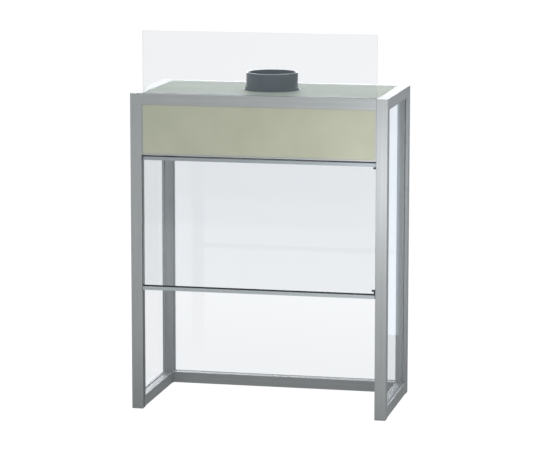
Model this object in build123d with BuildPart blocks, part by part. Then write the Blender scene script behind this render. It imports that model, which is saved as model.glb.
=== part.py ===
from build123d import *
import os

os.makedirs("parts", exist_ok=True)

# Millimetres. The origin is on the floor under the middle of the frame, and the front faces -Y.
# Tracks, sash faces and the fascia are given from the plane of the posts' front faces.

# Overall
width = 1500
depth = 780
height = 1850

# Square tube of the frame
section = 65
wall = 2.5
corner_radius = 2.5
pad_height = 3
cap_height = 3
plug_depth = 6
plug_gap = 0.2

# Fixed panes in their slots
pane = 5
pane_setback = 17.5
pane_hold = 10
slot_width = 9
slot_depth = 12
slot_web = 2.5
gasket_gap = 0.1
gasket_edge = 1
gasket_lip = 2

# Sash tracks in the front posts
lower_track = 19
upper_track = 37.5
groove_width = 7
groove_depth = 10
liner_wall = 0.75
liner_gap = 0.1

# Rear header, behind the slot that the sashes rise through
slot_header_depth = 20

# Roof
roof = 5
roof_recess = 1
roof_gap = 0.5
seal = 1
ledge = 20
ledge_wall = 2

# Duct collar, whose foot is turned down to stand in the flange and the roof
collar_radius = 150
foot_radius = 148
collar_wall = 10
collar_rise = 100
collar_drop = 12
collar_chamfer = 2
flange_radius = 166
flange_height = 5
flange_chamfer = 1.5
weld_leg = 8
foot_gap = 0.2

# Fascia
fascia = 5
fascia_front = 7.5
fascia_drop = 290
trim_wall = 2
trim_height = 8
trim_gap = 0.1
header_hold = 9
header_groove = 10

# Sashes
sash_side_gap = 3
rail_height = 20
rail_floor = 3.7
rail_radius = 1.5
rail_groove_height = 4
rail_groove_depth = 1
rail_wall = 2
sash_gasket = 1.3
sash_gasket_rise = 7
sash_gap = 0.1
ear_reach = 8.5
ear_height = 30
ear_radius = 3
pane_corner_radius = 6
top_stop_gap = 0.5
landing_gap = 0.2

upper_rail_drop = 33
upper_rail_front = 28.5
upper_rail_back = 45.5
upper_pane_lap = 13

lower_rail_front = 3
lower_rail_back = 25.5
lower_pane_lap = 24

# Where the sashes stop: the lower one above the floor and below the raised upper rail, the upper one above
# the lower one's place at rest
floor_gap = 4
raised_gap = 42
rest_step = 54

# End shoes, and the stops that they land on
shoe_gap = 0.2
shoe_side_gap = 0.7
shoe_inset = 0.5
tongue_width = 5
tongue_height = 14
stop_height = 18
stop_gap = 0.2

# Sash locks
knob_radius = 6
knob_length = 12
knob_flutes = 6
flute_radius = 1.6
knob_chamfer = 0.8
knob_stand_off = 0.6
lock_radius = 3
lock_bore_gap = 0.05
lock_end_gap = 0.4
lug_thickness = 8
lower_lock_rise = 27
upper_lock_drop = 8.5

# Corner joints: a tongue through the post's wall, and a flat key through the tongue
spigot_length = 40
joint_gap = 0.2
joint_offset = 8
header_joint_rise = 3
joint_tongue_width = 8
joint_tongue_height = 24
joint_tongue_end = 6
key_width = 4
key_height = 40
key_thickness = 5

half = section / 2
front = -depth / 2
inner_x = width / 2 - section
inner_front = front + section
inner_back = depth / 2 - section
post_x = width / 2 - half
post_y = depth / 2 - half
top_rail_z = height - half
top_rail_bottom = height - section
bottom_rail_z = pad_height + half
bottom_rail_top = pad_height + section
post_top = height - cap_height
slot_place = half - pane_setback
header_depth = fascia_front + fascia + trim_gap + slot_web
square = (section, section)

# Heights of the sashes at rest, the upper one raised and the lower one halfway, and how far they travel
trim_bottom = top_rail_bottom - fascia_drop
upper_rail_bottom = trim_bottom - upper_rail_drop
upper_travel = (upper_rail_bottom - floor_gap - rest_step) / 2
upper_pane_top = trim_bottom + upper_pane_lap + upper_travel
lower_rail_bottom = upper_travel + floor_gap
lower_pane_top = upper_rail_bottom + lower_pane_lap
lower_travel_down = lower_rail_bottom - floor_gap
lower_travel_up = upper_rail_bottom - raised_gap - lower_rail_bottom
sash_half_width = inner_x - sash_side_gap


def save(piece, label):
    piece.part.label = label
    export_step(piece.part, f"parts/{label}.step")


def against_wall(outline, side, place, across, deep, mode):
    """Draws a rectangle that lies against one side of an outline, its middle at place along that side."""
    if side in ("left", "right"):
        reach = (outline[0] - deep) / 2
        with Locations((reach if side == "right" else -reach, place)):
            Rectangle(deep, across, mode=mode)
    else:
        reach = (outline[1] - deep) / 2
        with Locations((place, reach if side == "top" else -reach)):
            Rectangle(across, deep, mode=mode)


def tube_section(outline, slots):
    """Draws a tube's walls with a channel for each slot, given as (side, place, width, depth)."""
    RectangleRounded(*outline, corner_radius)
    Rectangle(outline[0] - 2 * wall, outline[1] - 2 * wall, mode=Mode.SUBTRACT)
    for side, place, across, deep in slots:
        against_wall(outline, side, place, across + 2 * slot_web, deep + slot_web, Mode.ADD)
    for side, place, across, deep in slots:
        against_wall(outline, side, place, across, deep, Mode.SUBTRACT)


def plug_section(outline, slots):
    """Draws what fits inside that tube, clear of its walls and channels."""
    inset = wall + plug_gap
    channel = slot_web + plug_gap
    Rectangle(outline[0] - 2 * inset, outline[1] - 2 * inset)
    for side, place, across, deep in slots:
        against_wall(outline, side, place, across + 2 * channel, deep + channel, Mode.SUBTRACT)


# Rails
# Each has the plane that it is drawn in, the span that it fills along that plane's normal, its middle and
# outline in the plane, its slots, and the middle of its tongues.
side_span = (-inner_back, -inner_front)
cross_span = (-inner_x, inner_x)
rails = []
for side, sign in (("left", -1), ("right", 1)):
    for level, z, slot_side in (("top", top_rail_z, "bottom"), ("bottom", bottom_rail_z, "top")):
        slots = [(slot_side, sign * slot_place, slot_width, slot_depth)]
        joint = (sign * (post_x - joint_offset), z)
        rails.append((f"{side}_{level}_rail", Plane.XZ, side_span, (sign * post_x, z), square, slots, joint))
for level, z, slot_side in (("top", top_rail_z, "bottom"), ("bottom", bottom_rail_z, "top")):
    slots = [(slot_side, slot_place, slot_width, slot_depth)]
    joint = (post_y - joint_offset, z)
    rails.append((f"back_{level}_rail", Plane.YZ, cross_span, (post_y, z), square, slots, joint))

# The front header holds the fascia's top edge in a groove, and the rear one only closes the roof's front.
header_y = front + header_depth / 2
fascia_y = front + fascia_front + fascia / 2
fascia_groove = [("bottom", fascia_y - header_y, fascia + 2 * trim_gap, header_groove)]
slot_header_y = inner_front - slot_header_depth / 2
header_joint_z = top_rail_z + header_joint_rise
rails.append(
    ("front_header", Plane.YZ, cross_span, (header_y, top_rail_z), (header_depth, section), fascia_groove,
     (header_y, header_joint_z))
)
rails.append(
    ("slot_header", Plane.YZ, cross_span, (slot_header_y, top_rail_z), (slot_header_depth, section), [],
     (slot_header_y, header_joint_z))
)

for name, plane, (start, end), middle, outline, slots, joint in rails:
    with BuildPart() as rail:
        with BuildSketch(plane.offset(start)):
            with Locations(middle):
                tube_section(outline, slots)
        extrude(amount=end - start)
    save(rail, name)

# Corner joints: a spigot in each rail's end with its tongue in the post, and the key that draws it tight
with BuildPart() as spigots:
    for name, plane, span, middle, outline, slots, joint in rails:
        for end, inward in zip(span, (1, -1)):
            with BuildSketch(plane.offset(end)):
                with Locations(middle):
                    plug_section(outline, slots)
            extrude(amount=inward * spigot_length)
            with BuildSketch(plane.offset(end)):
                with Locations(joint):
                    Rectangle(joint_tongue_width, joint_tongue_height)
            extrude(amount=-inward * (wall + key_thickness + joint_tongue_end))
            with BuildSketch(plane.offset(end - inward * wall)):
                with Locations(joint):
                    Rectangle(key_width + 2 * joint_gap, joint_tongue_height)
            extrude(amount=-inward * key_thickness, mode=Mode.SUBTRACT)
save(spigots, "corner_spigots")

with BuildPart() as keys:
    for name, plane, span, middle, outline, slots, joint in rails:
        for end, inward in zip(span, (1, -1)):
            with BuildSketch(plane.offset(end - inward * wall)):
                with Locations(joint):
                    Rectangle(key_width, key_height)
            extrude(amount=-inward * key_thickness)
save(keys, "corner_keys")

# Posts: the front ones carry two sash grooves and the side pane's slot, the back ones the two panes' slots
posts = []
for side, sign, inner_side in (("left", -1, "right"), ("right", 1, "left")):
    side_slot = (sign * slot_place, slot_width, slot_depth)
    grooves = [(inner_side, track - half, groove_width, groove_depth) for track in (lower_track, upper_track)]
    back_slot = (inner_side, slot_place, slot_width, slot_depth)
    posts.append((f"front_{side}_post", (sign * post_x, -post_y), [("top", *side_slot), *grooves]))
    posts.append((f"back_{side}_post", (sign * post_x, post_y), [("bottom", *side_slot), back_slot]))

for name, middle, slots in posts:
    with BuildPart() as post:
        with BuildSketch(Plane.XY.offset(pad_height)):
            with Locations(middle):
                tube_section(square, slots)
        extrude(amount=post_top - pad_height)
        for rail_name, plane, span, rail_middle, outline, rail_slots, joint in rails:
            for end, inward in zip(span, (1, -1)):
                x, y = (joint[0], -end) if plane == Plane.XZ else (end, joint[0])
                if abs(x - middle[0]) <= half and abs(y - middle[1]) <= half:
                    with BuildSketch(plane.offset(end)):
                        with Locations(joint):
                            Rectangle(joint_tongue_width + 2 * joint_gap, joint_tongue_height + 2 * joint_gap)
                    extrude(amount=-inward * wall, mode=Mode.SUBTRACT)
    save(post, name)

# Caps close the posts' tops and pads carry them on the floor
for label, plate_from, plate, plug in (
    ("post_caps", post_top, cap_height, -plug_depth),
    ("foot_pads", pad_height, -pad_height, plug_depth),
):
    with BuildPart() as ends:
        for name, middle, slots in posts:
            with BuildSketch(Plane.XY.offset(plate_from)):
                with Locations(middle):
                    RectangleRounded(*square, corner_radius)
            extrude(amount=plate)
            with BuildSketch(Plane.XY.offset(plate_from)):
                with Locations(middle):
                    plug_section(square, slots)
            extrude(amount=plug)
    save(ends, label)

# Fixed panes, each with a rubber channel round its four edges
pane_bottom = bottom_rail_top - pane_hold
pane_top = top_rail_bottom + pane_hold
pane_middle = (pane_bottom + pane_top) / 2
opening_height = top_rail_bottom - bottom_rail_top
panes = [
    ("left", Plane.YZ, -width / 2 + pane_setback, inner_back - inner_front),
    ("right", Plane.YZ, width / 2 - pane_setback, inner_back - inner_front),
    ("back", Plane.XZ, -depth / 2 + pane_setback, 2 * inner_x),
]
for side, plane, place, opening in panes:
    with BuildPart() as sheet:
        with BuildSketch(plane.offset(place - pane / 2)):
            with Locations((0, pane_middle)):
                Rectangle(opening + 2 * pane_hold, pane_top - pane_bottom)
        extrude(amount=pane)
    save(sheet, f"{side}_pane")

    gasket_width = slot_width - 2 * gasket_gap
    with BuildPart() as gasket:
        with BuildSketch(plane.offset(place - gasket_width / 2)):
            with Locations((0, pane_middle)):
                edge = pane_hold + gasket_edge
                Rectangle(opening + 2 * edge, opening_height + 2 * edge)
                Rectangle(opening - 2 * gasket_lip, opening_height - 2 * gasket_lip, mode=Mode.SUBTRACT)
        extrude(amount=gasket_width)
        with BuildSketch(plane.offset(place - pane / 2)):
            with Locations((0, pane_middle)):
                Rectangle(opening + 2 * pane_hold, pane_top - pane_bottom)
        extrude(amount=pane, mode=Mode.SUBTRACT)
    save(gasket, f"{side}_gasket")

# Roof: a sheet that lies on angles inside the top rails, level with them but for a small recess
roof_top = height - roof_recess
roof_bottom = roof_top - roof
ledge_top = roof_bottom - seal
roof_x = inner_x - roof_gap
roof_y = inner_back - roof_gap
with BuildPart() as roof_sheet:
    with BuildSketch(Plane.XY.offset(roof_bottom)):
        Rectangle(2 * roof_x, 2 * roof_y)
        Circle(foot_radius + foot_gap, mode=Mode.SUBTRACT)
    extrude(amount=roof)
save(roof_sheet, "roof_panel")

with BuildPart() as roof_seal:
    with BuildSketch(Plane.XY.offset(ledge_top)):
        Rectangle(2 * roof_x, 2 * roof_y)
        Rectangle(2 * (inner_x - ledge), 2 * (inner_back - ledge), mode=Mode.SUBTRACT)
    extrude(amount=seal)
save(roof_seal, "roof_seal")

with BuildPart() as ledges:
    for sign in (-1, 1):
        with BuildSketch(Plane.YZ.offset(-inner_x)):
            with Locations((sign * (inner_back - ledge / 2), ledge_top - ledge_wall / 2)):
                Rectangle(ledge, ledge_wall)
            with Locations((sign * (inner_back - ledge_wall / 2), ledge_top - ledge / 2)):
                Rectangle(ledge_wall, ledge)
        extrude(amount=2 * inner_x)
        with BuildSketch(Plane.XZ.offset(-inner_back + ledge)):
            with Locations((sign * (inner_x - ledge / 2), ledge_top - ledge_wall / 2)):
                Rectangle(ledge, ledge_wall)
            with Locations((sign * (inner_x - ledge_wall / 2), ledge_top - ledge / 2)):
                Rectangle(ledge_wall, ledge)
        extrude(amount=2 * (inner_back - ledge))
save(ledges, "roof_ledges")

# Duct collar: a ring lies on the roof round the pipe's foot, and a weld runs round the pipe on the ring
ring_top = roof_top + flange_height
with BuildPart() as collar:
    with BuildSketch(Plane.XZ):
        with BuildLine():
            Polyline(
                (collar_radius - collar_wall, roof_bottom - collar_drop),
                (foot_radius, roof_bottom - collar_drop),
                (foot_radius, ring_top),
                (collar_radius + weld_leg, ring_top),
                (collar_radius, ring_top + weld_leg),
                (collar_radius, height + collar_rise - collar_chamfer),
                (collar_radius - collar_chamfer, height + collar_rise),
                (collar_radius - collar_wall + collar_chamfer, height + collar_rise),
                (collar_radius - collar_wall, height + collar_rise - collar_chamfer),
                close=True,
            )
        make_face()
    revolve(axis=Axis.Z)
save(collar, "duct_collar")

with BuildPart() as flange:
    with BuildSketch(Plane.XY.offset(roof_top)):
        Circle(flange_radius)
        Circle(foot_radius + foot_gap, mode=Mode.SUBTRACT)
    extrude(amount=flange_height)
    chamfer(flange.faces().sort_by(Axis.Z)[-1].edges().sort_by(SortBy.RADIUS)[-1], flange_chamfer)
save(flange, "collar_flange")

# Fascia: a sheet between the header's groove and three channel trims
trim_outer = fascia + 2 * trim_gap + 2 * trim_wall
trim_top = trim_bottom + trim_height
fascia_half_width = inner_x - trim_wall - trim_gap
fascia_low = trim_bottom + trim_wall + trim_gap
fascia_high = top_rail_bottom + header_hold
with BuildPart() as fascia_sheet:
    with BuildSketch(Plane.XZ.offset(-(fascia_y + fascia / 2))):
        with Locations((0, (fascia_low + fascia_high) / 2)):
            Rectangle(2 * fascia_half_width, fascia_high - fascia_low)
    extrude(amount=fascia)
save(fascia_sheet, "fascia_panel")

with BuildPart() as bottom_trim:
    with BuildSketch(Plane.YZ.offset(-inner_x)):
        with Locations((fascia_y, trim_bottom + trim_height / 2)):
            Rectangle(trim_outer, trim_height)
            against_wall((trim_outer, trim_height), "top", 0, fascia + 2 * trim_gap,
                         trim_height - trim_wall, Mode.SUBTRACT)
    extrude(amount=2 * inner_x)
save(bottom_trim, "fascia_bottom_trim")

for side, sign, mouth in (("left", -1, "right"), ("right", 1, "left")):
    with BuildPart() as side_trim:
        with BuildSketch(Plane.XY.offset(trim_top)):
            with Locations((sign * (inner_x - trim_height / 2), fascia_y)):
                Rectangle(trim_height, trim_outer)
                against_wall((trim_height, trim_outer), mouth, 0, fascia + 2 * trim_gap,
                             trim_height - trim_wall, Mode.SUBTRACT)
        extrude(amount=top_rail_bottom - trim_top)
    save(side_trim, f"fascia_{side}_trim")

# Track liners: a low-friction channel in each sash groove
liner_width = groove_width - 2 * liner_gap
liner_depth = groove_depth - liner_gap
for side, sign, mouth in (("left", -1, "right"), ("right", 1, "left")):
    for place, track in (("front", lower_track), ("rear", upper_track)):
        with BuildPart() as liner:
            with BuildSketch(Plane.XY.offset(pad_height)):
                with Locations((sign * (inner_x + liner_depth / 2), front + track)):
                    Rectangle(liner_depth, liner_width)
                    against_wall((liner_depth, liner_width), mouth, 0, liner_width - 2 * liner_wall,
                                 liner_depth - liner_wall, Mode.SUBTRACT)
            extrude(amount=post_top - pad_height)
        save(liner, f"{side}_{place}_liner")

# Stops in the tracks: under the lower sash's shoes at the floor, and under the upper sash's halfway down
tongue_rise = (rail_height - tongue_height) / 2
lower_stop_top = lower_rail_bottom + tongue_rise - lower_travel_down - landing_gap
upper_stop_top = upper_rail_bottom + tongue_rise - upper_travel - landing_gap
stop_width = liner_width - 2 * liner_wall - 2 * stop_gap
stop_depth = liner_depth - liner_wall - 2 * stop_gap
for label, track, bottom, top in (
    ("lower_sash_buffers", lower_track, pad_height, lower_stop_top),
    ("upper_sash_stops", upper_track, upper_stop_top - stop_height, upper_stop_top),
):
    with BuildPart() as stops:
        with BuildSketch(Plane.XY.offset(bottom)):
            with Locations(*[(sign * (inner_x + stop_gap + stop_depth / 2), front + track) for sign in (-1, 1)]):
                Rectangle(stop_depth, stop_width)
        extrude(amount=top - bottom)
    save(stops, label)


def lug_section(lock, end):
    """Draws the lug that carries a lock screw: round about the screw, straight on to its rail's side."""
    lock_y, lock_z = lock
    with Locations(lock):
        Circle(knob_radius)
    with Locations((lock_y, (lock_z + end) / 2)):
        Rectangle(2 * knob_radius, abs(end - lock_z))
    with Locations(lock):
        Circle(lock_radius + lock_bore_gap, mode=Mode.SUBTRACT)


# Sashes
shoe_x = inner_x - shoe_side_gap
shoe_start = sash_half_width + shoe_gap
ear_x = inner_x + ear_reach
sashes = [
    ("upper", upper_track, upper_rail_front, upper_rail_back, upper_rail_bottom, upper_pane_top, 0,
     upper_rail_bottom - upper_lock_drop, -1),
    ("lower", lower_track, lower_rail_front, lower_rail_back, lower_rail_bottom, lower_pane_top, lower_travel_up,
     lower_rail_bottom + rail_height + lower_lock_rise, 1),
]
for name, track, rail_front, rail_back, rail_bottom, sash_top, rise, lock_z, lock_side in sashes:
    sash_y = front + track
    lock = (front + rail_front + knob_radius, lock_z)
    rail_top = rail_bottom + rail_height
    rail_middle = (front + (rail_front + rail_back) / 2, rail_bottom + rail_height / 2)
    rail_outline = (rail_back - rail_front, rail_height)
    channel = pane + 2 * sash_gasket + 2 * sash_gap

    # Pane, with two ears that run in the tracks, under the caps at the top of its travel
    sheet_bottom = rail_bottom + rail_floor + sash_gap + sash_gasket
    ear_top = post_top - top_stop_gap - rise
    with BuildPart() as sheet:
        with BuildSketch(Plane.XZ.offset(-(sash_y + pane / 2))) as sheet_outline:
            with Locations((0, (sheet_bottom + sash_top) / 2)):
                Rectangle(2 * sash_half_width, sash_top - sheet_bottom)
            fillet(sheet_outline.vertices().group_by(Axis.Y)[-1], pane_corner_radius)
            with Locations((0, ear_top - ear_height / 2)):
                RectangleRounded(2 * ear_x, ear_height, ear_radius)
        extrude(amount=pane)
    save(sheet, f"{name}_sash_pane")

    # Rail: extruded, with the pane's channel and, in the deeper lower one, a hollow grip
    with BuildPart() as rail:
        with BuildSketch(Plane.YZ.offset(-sash_half_width)):
            with Locations(rail_middle):
                RectangleRounded(*rail_outline, rail_radius)
                against_wall(rail_outline, "top", sash_y - rail_middle[0], channel,
                             rail_height - rail_floor, Mode.SUBTRACT)
                against_wall(rail_outline, "left", 0, rail_groove_height, rail_groove_depth, Mode.SUBTRACT)
            grip_front = front + rail_front + rail_groove_depth + rail_wall
            grip_back = sash_y - channel / 2 - rail_wall
            if grip_back - grip_front > rail_wall:
                with Locations(((grip_front + grip_back) / 2, rail_middle[1])):
                    Rectangle(grip_back - grip_front, rail_height - 2 * rail_wall, mode=Mode.SUBTRACT)
        extrude(amount=2 * sash_half_width)
    save(rail, f"{name}_sash_rail")

    # Gasket: a rubber channel that holds the pane in the rail and stands above it
    with BuildPart() as gasket:
        gasket_low = rail_bottom + rail_floor + sash_gap
        gasket_high = rail_top + sash_gasket_rise
        gasket_outline = (pane + 2 * sash_gasket, gasket_high - gasket_low)
        with BuildSketch(Plane.YZ.offset(-sash_half_width)):
            with Locations((sash_y, (gasket_low + gasket_high) / 2)):
                Rectangle(*gasket_outline)
                against_wall(gasket_outline, "top", 0, pane, gasket_outline[1] - sash_gasket, Mode.SUBTRACT)
        extrude(amount=2 * sash_half_width)
    save(gasket, f"{name}_sash_gasket")

    # Shoes: an end plate with a tongue in the track, and on the right a lug for the lock screw
    for side, sign in (("left", -1), ("right", 1)):
        with BuildPart() as shoe:
            with BuildSketch(Plane.YZ.offset(sign * shoe_start)):
                with Locations(rail_middle):
                    RectangleRounded(rail_outline[0] - 2 * shoe_inset, rail_outline[1] - 2 * shoe_inset, rail_radius)
                if side == "right":
                    lug_section(lock, rail_middle[1])
            extrude(amount=sign * (shoe_x - shoe_start))
            with BuildSketch(Plane.YZ.offset(sign * shoe_start)):
                with Locations((sash_y, rail_middle[1])):
                    Rectangle(tongue_width, tongue_height)
            extrude(amount=sign * (ear_x - shoe_start))
            if side == "right":
                lug_end = rail_middle[1] + lock_side * (rail_height / 2 + shoe_gap)
                with BuildSketch(Plane.YZ.offset(shoe_x)):
                    lug_section(lock, lug_end)
                extrude(amount=-lug_thickness)
        save(shoe, f"{name}_sash_{side}_shoe")

    # Lock screw: a fluted knob whose end bears on the post
    knob_back = shoe_x - lug_thickness - knob_stand_off
    with BuildPart() as lock_screw:
        with BuildSketch(Plane.YZ.offset(knob_back)):
            with Locations(lock):
                Circle(knob_radius)
        extrude(amount=-knob_length)
        chamfer(lock_screw.faces().sort_by(Axis.X)[0].edges(), knob_chamfer)
        with BuildSketch(Plane.YZ.offset(knob_back)):
            with Locations(lock):
                with PolarLocations(knob_radius, knob_flutes):
                    Circle(flute_radius)
        extrude(amount=-knob_length, mode=Mode.SUBTRACT)
        with BuildSketch(Plane.YZ.offset(knob_back)):
            with Locations(lock):
                Circle(lock_radius)
        extrude(amount=inner_x - lock_end_gap - knob_back)
    save(lock_screw, f"{name}_sash_lock_screw")
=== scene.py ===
import math

import bmesh
import bpy
from mathutils import Matrix, Vector


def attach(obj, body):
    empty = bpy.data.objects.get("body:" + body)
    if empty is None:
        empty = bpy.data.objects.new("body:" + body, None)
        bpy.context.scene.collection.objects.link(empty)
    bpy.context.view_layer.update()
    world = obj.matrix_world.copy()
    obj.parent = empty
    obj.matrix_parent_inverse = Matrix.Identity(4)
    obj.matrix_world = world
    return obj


# A walk-in fume hood: an aluminium frame glazed with clear PVC, with two rising sashes and a roof with a
# duct collar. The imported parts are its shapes. Here they get their finishes, and the pieces that are too
# fine for the parts are added.
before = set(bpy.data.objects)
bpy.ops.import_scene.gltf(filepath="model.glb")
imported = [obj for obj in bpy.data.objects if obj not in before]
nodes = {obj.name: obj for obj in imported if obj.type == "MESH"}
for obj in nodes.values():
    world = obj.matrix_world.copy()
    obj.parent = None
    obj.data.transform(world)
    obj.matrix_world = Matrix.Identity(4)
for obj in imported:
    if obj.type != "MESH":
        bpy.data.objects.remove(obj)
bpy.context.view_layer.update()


# Camera
# The hood is seen from 15 m away through a long lens, so that its lines hardly converge. The camera stands 12
# degrees to the right of the front and looks 9 degrees down.
camera_data = bpy.data.cameras.new("camera")
camera_data.lens = 176.77
camera_data.sensor_width = 36.0
camera_data.clip_end = 100.0
camera = bpy.data.objects.new("camera", camera_data)
camera.location = (3.2521, -15.0051, 3.5244)
camera.rotation_euler = (math.radians(90.0 - 9.16), math.radians(-0.05), math.radians(12.28))
bpy.context.scene.collection.objects.link(camera)
bpy.context.scene.camera = camera
bpy.context.scene.view_settings.view_transform = "Standard"


# Studio
# A white floor runs out to a white surround, and soft boxes light the hood from the front, from above and
# from behind. Four glowing sheets, which show only in gloss, shade what the metal and the panes mirror.
def linear(text):
    """An sRGB hex colour as the four linear numbers that shaders take."""
    parts = [int(text[i:i + 2], 16) / 255.0 for i in (0, 2, 4)]
    return [c / 12.92 if c <= 0.04045 else ((c + 0.055) / 1.055) ** 2.4 for c in parts] + [1.0]


def add(tree, kind, settings=(), **inputs):
    """Adds a node. Settings are its own properties, and inputs are values or sockets by the input's name."""
    node = tree.nodes.new(kind)
    for name, value in dict(settings).items():
        setattr(node, name, value)
    for name, value in inputs.items():
        key = int(name[1:]) if name[0] == "i" and name[1:].isdigit() else name.replace("_", " ")
        if isinstance(value, bpy.types.NodeSocket):
            tree.links.new(value, node.inputs[key])
        else:
            node.inputs[key].default_value = value
    return node


def blank_material(name):
    """A new material and its node tree, with no nodes in it."""
    material = bpy.data.materials.new(name)
    material.use_nodes = True
    material.node_tree.nodes.clear()
    return material, material.node_tree


def background_share(tree):
    """1 for rays that see the surround as the camera does, directly, in a reflection or through a pane."""
    path = add(tree, "ShaderNodeLightPath")
    seen = add(tree, "ShaderNodeMath", {"operation": "MAXIMUM"}, i0=path.outputs["Is Camera Ray"],
               i1=path.outputs["Is Transmission Ray"])
    return add(tree, "ShaderNodeMath", {"operation": "MAXIMUM"}, i0=seen.outputs[0],
               i1=path.outputs["Is Glossy Ray"]).outputs[0]


world = bpy.data.worlds.new("studio")
bpy.context.scene.world = world
world.use_nodes = True
world.node_tree.nodes.clear()
seen = add(world.node_tree, "ShaderNodeBackground", Color=linear("FFFFFF"), Strength=1.0)
lit = add(world.node_tree, "ShaderNodeBackground", Color=linear("F4F6F8"), Strength=0.5)
mixed = add(world.node_tree, "ShaderNodeMixShader", i0=background_share(world.node_tree), i1=lit.outputs[0],
            i2=seen.outputs[0])
add(world.node_tree, "ShaderNodeOutputWorld", Surface=mixed.outputs[0])


def studio_sheet(name, size, stands, place, material):
    """A flat sheet, drawn lying and turned up to face the hood where it stands."""
    data = bpy.data.meshes.new(name)
    sheet = bmesh.new()
    bmesh.ops.create_grid(sheet, x_segments=1, y_segments=1, size=0.5)
    bmesh.ops.scale(sheet, vec=(size[0], size[1], 1.0), verts=sheet.verts)
    if stands:
        bmesh.ops.rotate(sheet, matrix=Matrix.Rotation(math.radians(90.0), 3, "X"), verts=sheet.verts)
    bmesh.ops.translate(sheet, vec=place, verts=sheet.verts)
    sheet.to_mesh(data)
    sheet.free()
    data.materials.append(material)
    made = bpy.data.objects.new(name, data)
    bpy.context.scene.collection.objects.link(made)
    return made


# To the camera the floor glows almost white and darkens a little in shadow. To the light it is matt paint.
paint, tree = blank_material("studio_floor")
matt = add(tree, "ShaderNodeBsdfDiffuse", Color=linear("F2F2F2"))
shaded = add(tree, "ShaderNodeBsdfDiffuse", Color=linear("616161"))
glow = add(tree, "ShaderNodeEmission", Color=linear("FFFFFF"), Strength=0.96)
both = add(tree, "ShaderNodeAddShader", i0=shaded.outputs[0], i1=glow.outputs[0])
mixed = add(tree, "ShaderNodeMixShader", i0=background_share(tree), i1=matt.outputs[0], i2=both.outputs[0])
add(tree, "ShaderNodeOutputMaterial", Surface=mixed.outputs[0])
studio_sheet("floor", (120.0, 120.0), False, (0.0, 0.0, 0.0), paint)


def gloss_card(name, size, stands, place, tint, way, start, end):
    """Shows only in gloss. Start and end each give how far along the way, and how bright it is there."""
    paint, tree = blank_material(name)
    reach = add(tree, "ShaderNodeVectorMath", {"operation": "DOT_PRODUCT"},
                i0=add(tree, "ShaderNodeTexCoord").outputs["Object"], i1=way)
    strength = add(tree, "ShaderNodeMapRange", Value=reach.outputs["Value"], From_Min=start[0],
                   From_Max=end[0], To_Min=start[1], To_Max=end[1])
    glow = add(tree, "ShaderNodeEmission", Color=linear(tint), Strength=strength.outputs["Result"])
    add(tree, "ShaderNodeOutputMaterial", Surface=glow.outputs[0])
    made = studio_sheet(name, size, stands, place, paint)
    made.visible_camera = made.visible_diffuse = made.visible_transmission = made.visible_shadow = False


# The fronts mirror the front card, which brightens to the right, and lower down the mat on the floor, which
# is dark at the hood and bright in front of it. The rear card keeps the faces that look to the right dark.
# The sky strip is what the right pane mirrors at a flat angle.
gloss_card("front_card", (20.0, 9.0), True, (0.0, -7.0, 4.5), "F4F7F6", (1.0, 0.0, 0.0), (-3.0, 0.55),
           (1.0, 1.05))
gloss_card("floor_mat", (20.0, 10.2), False, (0.0, -1.9, 0.004), "F4F7F6", (0.35, -1.0, 0.0), (0.3, 0.36),
           (2.4, 1.15))
gloss_card("rear_card", (7.5, 2.1), True, (2.25, 3.2, 1.05), "F4F7F6", (1.0, 0.0, 0.0), (0.2, 0.12),
           (1.3, 0.35))
gloss_card("sky_strip", (0.26, 1.7), True, (1.18, 2.0, 0.86), "D9EBFD", (0.0, 0.0, 1.0), (0.0, 1.5),
           (1.7, 1.35))

# Each box has its place, the point that it looks at, its size in metres and its power in watts. The rear
# boxes light only gloss, to brighten the rails' tops, and the front and top boxes never show in gloss.
for name, place, aim, size, power in (
    ("near_box", (0.85, -1.35, 1.3), (0.72, -0.4, 1.45), (0.45, 0.45), 4.5),
    ("front_box", (-3.0, -6.0, 2.6), (0.0, 0.0, 1.0), (2.5, 2.5), 95.0),
    ("top_box", (0.0, 0.6, 5.0), (0.0, 0.0, 1.5), (3.0, 3.0), 60.0),
    ("rear_box", (-0.6, 4.0, 2.8), (0.0, 0.0, 1.85), (3.6, 1.0), 95.0),
    ("rear_low_box", (-1.4, 4.0, 1.0), (0.0, 0.0, 0.1), (2.4, 0.7), 22.0),
):
    lamp = bpy.data.lights.new(name, "AREA")
    lamp.shape = "RECTANGLE"
    lamp.size, lamp.size_y = size
    lamp.energy = power
    box = bpy.data.objects.new(name, lamp)
    box.location = place
    box.rotation_euler = (Vector(aim) - Vector(place)).to_track_quat("-Z", "Y").to_euler()
    box.visible_camera = box.visible_transmission = False
    box.visible_diffuse = name not in ("rear_box", "rear_low_box")
    box.visible_glossy = name not in ("front_box", "top_box")
    bpy.context.scene.collection.objects.link(box)


# Frame tube
# Posts, rails and headers are extruded from aluminium, then etched and anodised satin. They shine softly, in
# streaks along their length, and the etch leaves faint clouds. All are one shade of silver.
def finish(material, *names):
    """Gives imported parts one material."""
    for name in names:
        slots = nodes[name].data.materials
        slots.clear()
        slots.append(material)


def mottle(tree, sizes, detail=2.0, roughness=0.5):
    """An uneven pattern from 0 to 1, whose patches have these sizes in millimetres along X, Y and Z."""
    coordinates = add(tree, "ShaderNodeTexCoord")
    scaled = add(tree, "ShaderNodeMapping", Vector=coordinates.outputs["Object"],
                 Scale=[1000.0 / size for size in sizes])
    return add(tree, "ShaderNodeTexNoise", Vector=scaled.outputs["Vector"], Scale=1.0, Detail=detail,
               Roughness=roughness).outputs["Fac"]


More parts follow.
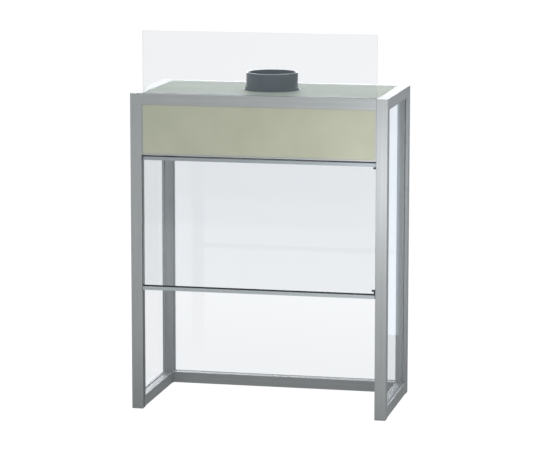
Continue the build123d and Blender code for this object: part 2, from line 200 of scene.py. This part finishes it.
def anodised_aluminium(name, axis, dark="A8ABAD", light="B5B7B9"):
    """Die lines 0.6 mm apart, which show from near by, and 9 mm streaks run along axis. Clouds are 125 mm."""
    material, tree = blank_material(name)
    lines = mottle(tree, [250.0 if i == axis else 0.625 for i in range(3)], 3.0, 0.6)
    streaks = mottle(tree, [833.0 if i == axis else 9.09 for i in range(3)])
    clouds = mottle(tree, (125.0, 125.0, 125.0), 3.0)
    streaked = add(tree, "ShaderNodeMapRange", Value=streaks, From_Min=0.3, From_Max=0.7, To_Max=0.6)
    clouded = add(tree, "ShaderNodeMapRange", Value=clouds, From_Min=0.3, From_Max=0.7, To_Max=0.4)
    tone = add(tree, "ShaderNodeMath", {"operation": "ADD"}, i0=streaked.outputs[0], i1=clouded.outputs[0])
    colour = add(tree, "ShaderNodeMix", {"data_type": "RGBA"}, i0=tone.outputs[0], i6=linear(dark),
                 i7=linear(light))
    lined = add(tree, "ShaderNodeMapRange", Value=lines, From_Min=0.3, From_Max=0.7, To_Min=0.54, To_Max=0.62)
    etched = add(tree, "ShaderNodeMapRange", Value=clouds, From_Min=0.3, From_Max=0.7, To_Min=-0.02,
                 To_Max=0.03)
    satin = add(tree, "ShaderNodeMath", {"operation": "ADD"}, i0=lined.outputs[0], i1=etched.outputs[0])
    bump = add(tree, "ShaderNodeBump", Strength=0.12, Distance=0.00005, Height=lines)
    surface = add(tree, "ShaderNodeBsdfPrincipled", Base_Color=colour.outputs[2], Metallic=1.0,
                  Roughness=satin.outputs[0], Normal=bump.outputs[0])
    add(tree, "ShaderNodeOutputMaterial", Surface=surface.outputs[0])
    return material


upright = anodised_aluminium("anodised_aluminium_post", 2)
finish(upright, "front_left_post", "front_right_post", "back_left_post", "back_right_post")
finish(anodised_aluminium("anodised_aluminium_side_rail", 1), "left_top_rail", "right_top_rail",
       "left_bottom_rail", "right_bottom_rail")
crosswise = anodised_aluminium("anodised_aluminium_cross_rail", 0)
finish(crosswise, "back_top_rail", "back_bottom_rail", "front_header", "slot_header")


# Corner joints
# Each corner is held from inside the tube. The spigots are sawn from drawn aluminium bar and left bright, and
# the keys that lock them to the posts are cut from galvanised steel, which is greyer.
def sawn_metal(name, dark, light, smooth, coarse):
    """Saw marks 1.25 mm apart and 20 mm long dull the metal from smooth to coarse."""
    material, tree = blank_material(name)
    marks = mottle(tree, (1.25, 1.25, 20.0))
    colour = add(tree, "ShaderNodeMix", {"data_type": "RGBA"}, i0=marks, i6=linear(dark), i7=linear(light))
    dulled = add(tree, "ShaderNodeMapRange", Value=marks, From_Min=0.3, From_Max=0.7, To_Min=smooth,
                 To_Max=coarse)
    surface = add(tree, "ShaderNodeBsdfPrincipled", Base_Color=colour.outputs[2], Metallic=1.0,
                  Roughness=dulled.outputs[0])
    add(tree, "ShaderNodeOutputMaterial", Surface=surface.outputs[0])
    return material


finish(sawn_metal("drawn_aluminium_bar", "B8BCBE", "CDD1D3", 0.26, 0.38), "corner_spigots")
finish(sawn_metal("galvanised_steel_key", "8E9498", "A8AEB2", 0.32, 0.44), "corner_keys")


# Caps and feet
# The caps are cut from anodised plate in the frame's shade and plugged into the posts' ends. The feet are
# moulded from black nylon, which is nearly matt.
finish(anodised_aluminium("anodised_aluminium_cap", 0), "post_caps")


def moulded_nylon(name, dark, light):
    """The spark-eroded mould leaves a grain of 0.5 mm, which breaks up the shine. Wear patches are 20 mm."""
    material, tree = blank_material(name)
    grain = mottle(tree, (0.5, 0.5, 0.5))
    wear = mottle(tree, (20.0, 20.0, 20.0), 3.0)
    colour = add(tree, "ShaderNodeMix", {"data_type": "RGBA"}, i0=wear, i6=linear(dark), i7=linear(light))
    grained = add(tree, "ShaderNodeMapRange", Value=grain, From_Min=0.3, From_Max=0.7, To_Min=0.41,
                  To_Max=0.53)
    bump = add(tree, "ShaderNodeBump", Strength=0.3, Distance=0.00006, Height=grain)
    surface = add(tree, "ShaderNodeBsdfPrincipled", Base_Color=colour.outputs[2], IOR=1.53,
                  Roughness=grained.outputs[0], Normal=bump.outputs[0])
    add(tree, "ShaderNodeOutputMaterial", Surface=surface.outputs[0])
    return material


nylon = moulded_nylon("moulded_black_nylon", "15171A", "1F2225")
finish(nylon, "foot_pads")


# Fixed panes
# Clear PVC sheet 5 mm thick, pressed between polished plates, so that what it mirrors waves a little. The
# sawn edges are frosted and faintly blue. The sheets at the sides look clearer than the one at the back.
def clear_sheet(name, tint, across):
    """Mirrors at its front and lets the rest straight through. Across is the axis of its thickness."""
    material, tree = blank_material(name)
    waves = mottle(tree, (167.0, 167.0, 167.0), 1.0)
    haze = mottle(tree, (83.3, 83.3, 83.3), 4.0, 0.6)
    bump = add(tree, "ShaderNodeBump", Strength=0.35, Distance=0.0006, Height=waves)

    # The front stands for both faces, so it mirrors twice what one does, up to a fifth of the light.
    fresnel = add(tree, "ShaderNodeFresnel", IOR=1.53, Normal=bump.outputs[0])
    doubled = add(tree, "ShaderNodeMath", {"operation": "MULTIPLY"}, i0=fresnel.outputs[0], i1=2.0)
    held = add(tree, "ShaderNodeMath", {"operation": "MINIMUM"}, i0=doubled.outputs[0], i1=0.2)
    behind = add(tree, "ShaderNodeNewGeometry").outputs["Backfacing"]
    mirrored = add(tree, "ShaderNodeMapRange", Value=behind, To_Min=held.outputs[0], To_Max=0.0)
    through = add(tree, "ShaderNodeBsdfTransparent", Color=linear(tint))
    hazed = add(tree, "ShaderNodeMapRange", Value=haze, From_Min=0.3, From_Max=0.7, To_Min=0.02, To_Max=0.06)
    mirror = add(tree, "ShaderNodeBsdfGlossy", Roughness=hazed.outputs[0], Normal=bump.outputs[0])
    face = add(tree, "ShaderNodeMixShader", i0=mirrored.outputs[0], i1=through.outputs[0],
               i2=mirror.outputs[0])

    # What doesn't face along the sheet's thickness is its edge.
    sawn = add(tree, "ShaderNodeBsdfPrincipled", Base_Color=linear("C6D3D9"), IOR=1.53, Roughness=0.5)
    facing = add(tree, "ShaderNodeSeparateXYZ", Vector=add(tree, "ShaderNodeTexCoord").outputs["Normal"])
    flat = add(tree, "ShaderNodeMath", {"operation": "ABSOLUTE"}, i0=facing.outputs[across])
    edge = add(tree, "ShaderNodeMath", {"operation": "LESS_THAN"}, i0=flat.outputs[0], i1=0.5)
    mixed = add(tree, "ShaderNodeMixShader", i0=edge.outputs[0], i1=face.outputs[0], i2=sawn.outputs[0])
    add(tree, "ShaderNodeOutputMaterial", Surface=mixed.outputs[0])
    return material


clear_pvc = clear_sheet("pressed_clear_pvc", "F9FAFB", 1)
finish(clear_pvc, "back_pane")
finish(clear_sheet("pressed_clear_pvc_side", "FDFEFF", 0), "left_pane", "right_pane")


# Glazing strips
# The side and back panes are pushed into strips of milky silicone, so that no dark line shows round them. The
# roof's seal is black EPDM. Both are extruded and slightly dull.
def extruded_rubber(name, dark, light):
    """Bloom lies on the rubber in patches of 33 mm and dulls it."""
    material, tree = blank_material(name)
    bloom = mottle(tree, (33.3, 33.3, 33.3), 3.0)
    colour = add(tree, "ShaderNodeMix", {"data_type": "RGBA"}, i0=bloom, i6=linear(dark), i7=linear(light))
    dulled = add(tree, "ShaderNodeMapRange", Value=bloom, From_Min=0.3, From_Max=0.7, To_Min=0.55, To_Max=0.7)
    surface = add(tree, "ShaderNodeBsdfPrincipled", Base_Color=colour.outputs[2], IOR=1.52,
                  Roughness=dulled.outputs[0])
    add(tree, "ShaderNodeOutputMaterial", Surface=surface.outputs[0])
    return material


finish(extruded_rubber("extruded_milky_silicone", "C9CFD2", "D8DCDE"), "left_gasket", "right_gasket",
       "back_gasket")
rubber = extruded_rubber("extruded_epdm", "141516", "202224")
finish(rubber, "roof_seal")


# Roof
# A sheet of pressed rigid PVC, grey with a little green in it and nearly matt. It lies on angles of the same
# aluminium as the frame.
def rigid_sheet(name, dark, light, smooth, coarse):
    """Press clouds of 200 mm shade the sheet, and a satin grain of 1.4 mm breaks up its shine."""
    material, tree = blank_material(name)
    clouds = mottle(tree, (200.0, 200.0, 200.0), 3.0)
    grain = mottle(tree, (1.43, 1.43, 1.43))
    clouded = add(tree, "ShaderNodeMapRange", Value=clouds, From_Min=0.3, From_Max=0.7)
    colour = add(tree, "ShaderNodeMix", {"data_type": "RGBA"}, i0=clouded.outputs[0], i6=linear(dark),
                 i7=linear(light))
    grained = add(tree, "ShaderNodeMapRange", Value=grain, From_Min=0.3, From_Max=0.7, To_Min=smooth,
                  To_Max=coarse)
    bump = add(tree, "ShaderNodeBump", Strength=0.2, Distance=0.00005, Height=grain)
    surface = add(tree, "ShaderNodeBsdfPrincipled", Base_Color=colour.outputs[2], IOR=1.53,
                  Roughness=grained.outputs[0], Normal=bump.outputs[0])
    add(tree, "ShaderNodeOutputMaterial", Surface=surface.outputs[0])
    return material


finish(rigid_sheet("pressed_rigid_pvc_roof", "909B91", "9AA499", 0.66, 0.75), "roof_panel")
finish(crosswise, "roof_ledges")


# Duct collar
# A length of extruded dark grey PVC pipe stands on a ring cut from sheet of the same PVC. Hot-gas welding
# leaves a bead round the pipe's foot, with a ripple for each stroke of the rod.
def extruded_pvc(name, dark, light):
    """Drag marks 4 mm wide and 100 mm long run up the pipe, and their shine differs a little."""
    material, tree = blank_material(name)
    drag = mottle(tree, (4.0, 4.0, 100.0), 3.0)
    colour = add(tree, "ShaderNodeMix", {"data_type": "RGBA"}, i0=drag, i6=linear(dark), i7=linear(light))
    marked = add(tree, "ShaderNodeMapRange", Value=drag, From_Min=0.3, From_Max=0.7, To_Min=0.3, To_Max=0.42)
    surface = add(tree, "ShaderNodeBsdfPrincipled", Base_Color=colour.outputs[2], IOR=1.54,
                  Roughness=marked.outputs[0])
    add(tree, "ShaderNodeOutputMaterial", Surface=surface.outputs[0])
    return material


finish(extruded_pvc("extruded_grey_pvc_pipe", "46555F", "505F6A"), "duct_collar", "collar_flange")

# The bead's middle lies out from the pipe and up from the ring. Each of the rod's strokes swells it and leans
# its top forward by a small angle, and the welder's hand swells and thins it slowly on its way round.
pipe_radius = 0.150
ring_top = max(corner.co.z for corner in nodes["collar_flange"].data.vertices)
weld_radius = 0.0042
weld_out = 0.0045
weld_up = 0.0035
weld_sides = 10
strokes = 150
steps_per_stroke = 4
stroke_swell = 0.13
stroke_lean = 0.004
hand_swell = 0.05
hand_waves = 7

bead_middle = pipe_radius + weld_out
bead = bmesh.new()
bmesh.ops.create_circle(bead, segments=weld_sides, radius=weld_radius)
bmesh.ops.rotate(bead, matrix=Matrix.Rotation(math.pi / weld_sides, 3, "Z"), verts=bead.verts)
bmesh.ops.rotate(bead, matrix=Matrix.Rotation(math.radians(90.0), 3, "X"), verts=bead.verts)
bmesh.ops.translate(bead, vec=(bead_middle, 0.0, 0.0), verts=bead.verts)
bmesh.ops.spin(bead, geom=bead.verts[:] + bead.edges[:], cent=(0.0, 0.0, 0.0), axis=(0.0, 0.0, 1.0),
               angle=2.0 * math.pi, steps=strokes * steps_per_stroke, use_merge=True)
for corner in bead.verts:
    turn = math.atan2(corner.co.y, corner.co.x)
    stroke = math.sin(strokes * turn)
    swell = 1.0 + stroke_swell * stroke + hand_swell * math.sin(hand_waves * turn + 1.0)
    lean = stroke_lean * stroke * corner.co.z / weld_radius
    reach = bead_middle + (math.hypot(corner.co.x, corner.co.y) - bead_middle) * swell
    corner.co = (reach * math.cos(turn + lean), reach * math.sin(turn + lean),
                 ring_top + weld_up + corner.co.z * swell)
bmesh.ops.recalc_face_normals(bead, faces=bead.faces)
for face in bead.faces:
    face.smooth = True
data = bpy.data.meshes.new("collar_weld_bead")
bead.to_mesh(data)
bead.free()
data.materials.append(extruded_pvc("hot_gas_weld_pvc", "3C4850", "47545D"))
weld_bead = bpy.data.objects.new("collar_weld_bead", data)
bpy.context.scene.collection.objects.link(weld_bead)
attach(weld_bead, "frame")


# Fascia
# A strip of pressed rigid PVC, greyish beige with a satin face, closes the front above the sashes. Channels
# of the frame's aluminium hold it at its bottom and sides.
finish(rigid_sheet("pressed_rigid_pvc_fascia", "AFB29C", "B7BAA4", 0.41, 0.5), "fascia_panel")
finish(crosswise, "fascia_bottom_trim")
finish(upright, "fascia_left_trim", "fascia_right_trim")


# Tracks
# Black nylon channels are pushed into the posts' grooves, so that the sashes slide without scratching. Nylon
# blocks in them stop the sashes.
finish(nylon, "left_front_liner", "left_rear_liner", "right_front_liner", "right_rear_liner",
       "lower_sash_buffers", "upper_sash_stops")


# Sashes
# Each is a sheet of the same clear PVC, pushed into a black rubber channel in an extruded rail that is a
# shade lighter than the frame. The shoes on the rail's ends and the lock screw are moulded from black nylon.
finish(clear_pvc, "upper_sash_pane", "lower_sash_pane")
finish(anodised_aluminium("anodised_aluminium_sash_rail", 0, "B8BDC1", "C6CBCE"), "upper_sash_rail",
       "lower_sash_rail")
finish(rubber, "upper_sash_gasket", "lower_sash_gasket")
finish(nylon, "upper_sash_left_shoe", "upper_sash_right_shoe", "upper_sash_lock_screw",
       "lower_sash_left_shoe", "lower_sash_right_shoe", "lower_sash_lock_screw")
